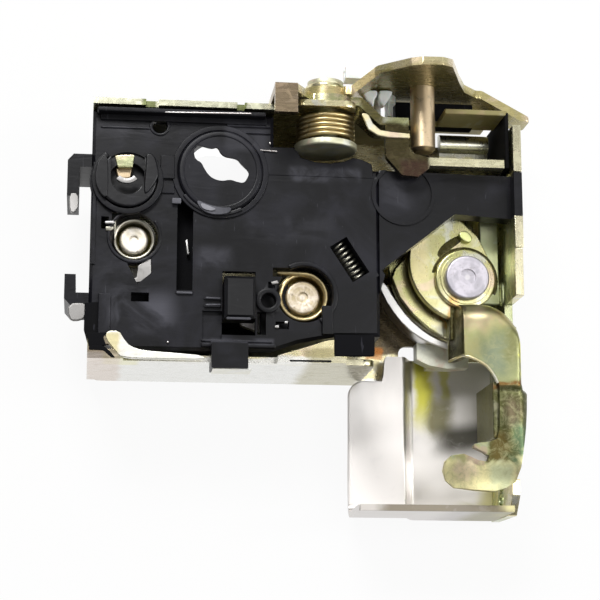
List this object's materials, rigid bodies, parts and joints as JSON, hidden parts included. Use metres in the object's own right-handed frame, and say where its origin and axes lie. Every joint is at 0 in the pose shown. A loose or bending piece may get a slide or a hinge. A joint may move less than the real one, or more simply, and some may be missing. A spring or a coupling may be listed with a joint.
{
  "type": "car door latch",
  "caption": "Car side-door latch: pressed case, moulded cover, hook claw, release sector, two handle levers, lock slide, key and knob followers, springs and striker tray.",
  "frame": {"origin": "middle of the two case screws on the outside of the face plate, half way through the depth of the case", "axes": "+X points out through the shut face along the screws, +Y is up in the door, +Z points to the inner trim; the back plate lies at Z = -16 mm"},
  "size_m": [0.1146, 0.1107, 0.0448],
  "materials": {
    "yellow_zinc": "yellow zinc plated, iridescent",
    "bright_zinc": "bright zinc plated",
    "black_plastic": "moulded, fine grain",
    "rivet_steel": "satin",
    "spring_steel": "drawn wire",
    "yellow_tongue": "yellow passivated",
    "white_nylon": "moulded"
  },
  "bodies": {
    "case": {"case_frame": "yellow_zinc", "striker_tray": "bright_zinc", "face_plate": "yellow_zinc", "claw_guard": "bright_zinc", "claw_stop": "yellow_zinc", "housing_cover": "black_plastic", "claw_rivet": "rivet_steel", "left_rivet": "rivet_steel", "middle_rivet": "rivet_steel", "top_rivet": "yellow_zinc", "top_washer": "rivet_steel", "left_bush": "black_plastic", "middle_bush": "black_plastic", "left_lever_spacer": "bright_zinc", "middle_lever_spacer": "bright_zinc", "claw_rear_spacer": "bright_zinc", "claw_front_spacer": "bright_zinc", "left_spring": "spring_steel", "middle_spring": "spring_steel", "claw_spring": "spring_steel", "top_spring": "spring_steel", "detent_spring": "spring_steel"},
    "claw": {"hook_claw": "yellow_zinc"},
    "release": {"release_sector": "yellow_zinc"},
    "inside_handle_lever": {"inner_lever": "yellow_zinc"},
    "outside_handle_lever": {"outer_lever": "yellow_zinc", "pusher_pin": "rivet_steel"},
    "rod_socket": {"rod_clip": "white_nylon"},
    "key_follower": {"key_dial": "black_plastic"},
    "lock_slide": {"lock_slider": "black_plastic"},
    "knob_follower": {"knob_dial": "black_plastic", "knob_tongue": "yellow_tongue"},
    "lock_link": {"lock_lever": "bright_zinc"},
    "transfer_link": {"transfer_lever": "bright_zinc"}
  },
  "joints": [
    {"name": "claw_turn", "type": "hinge", "parent": "case", "child": "claw", "pos_m": [-0.0126, -0.0091, 0.005], "axis": [0, 0, 1], "range_deg": [-18, 0], "stiffness_Nm_per_rad": 0.02, "springref_deg": 20.05},
    {"name": "outside_lever_swing", "type": "hinge", "parent": "case", "child": "outside_handle_lever", "pos_m": [-0.0475, 0.0346, 0.0115], "axis": [0, 1, 0], "range_deg": [0, 8], "stiffness_Nm_per_rad": 0.03, "springref_deg": -20.05},
    {"name": "release_turn", "type": "hinge", "parent": "case", "child": "release", "pos_m": [-0.0126, -0.0091, -0.003], "axis": [0, 0, 1], "range_deg": [0, 10.02]},
    {"name": "inside_lever_swing", "type": "hinge", "parent": "case", "child": "inside_handle_lever", "pos_m": [-0.0475, 0.0323, 0.0115], "axis": [0, 1, 0], "range_deg": [-7, 0], "stiffness_Nm_per_rad": 0.01, "springref_deg": 17.19},
    {"name": "rod_socket_turn", "type": "hinge", "parent": "outside_handle_lever", "child": "rod_socket", "pos_m": [-0.032, 0.039, 0.004], "axis": [0, 1, 0], "range_deg": [-20, 20]},
    {"name": "key_turn", "type": "hinge", "parent": "case", "child": "key_follower", "pos_m": [-0.0731, 0.0146, 0], "axis": [0, 0, 1], "range_deg": [-70, 70]},
    {"name": "lock_travel", "type": "slide", "parent": "case", "child": "lock_slide", "axis": [0, 1, 0], "range_m": [-0.003, 0.0015]},
    {"name": "lock_link_turn", "type": "hinge", "parent": "case", "child": "lock_link", "pos_m": [-0.0933, -0.0019, -0.002], "axis": [0, 0, 1], "range_deg": [-5.3, 2.7]},
    {"name": "knob_turn", "type": "hinge", "parent": "case", "child": "knob_follower", "pos_m": [-0.0952, 0.0118, 0.01], "axis": [0, 0, 1], "range_deg": [-16.3, 32.5]},
    {"name": "transfer_link_turn", "type": "hinge", "parent": "case", "child": "transfer_link", "pos_m": [-0.0527, -0.0149, -0.002], "axis": [0, 0, 1], "range_deg": [-6.5, 12.8]}
  ],
  "couplings": [
    {"joint": "release_turn", "follows": "outside_lever_swing", "ratio": 1.25},
    {"joint": "lock_link_turn", "follows": "lock_travel", "rad_per_m": 30.6},
    {"joint": "knob_turn", "follows": "lock_travel", "rad_per_m": -188.5},
    {"joint": "transfer_link_turn", "follows": "lock_travel", "rad_per_m": -74.2}
  ]
}
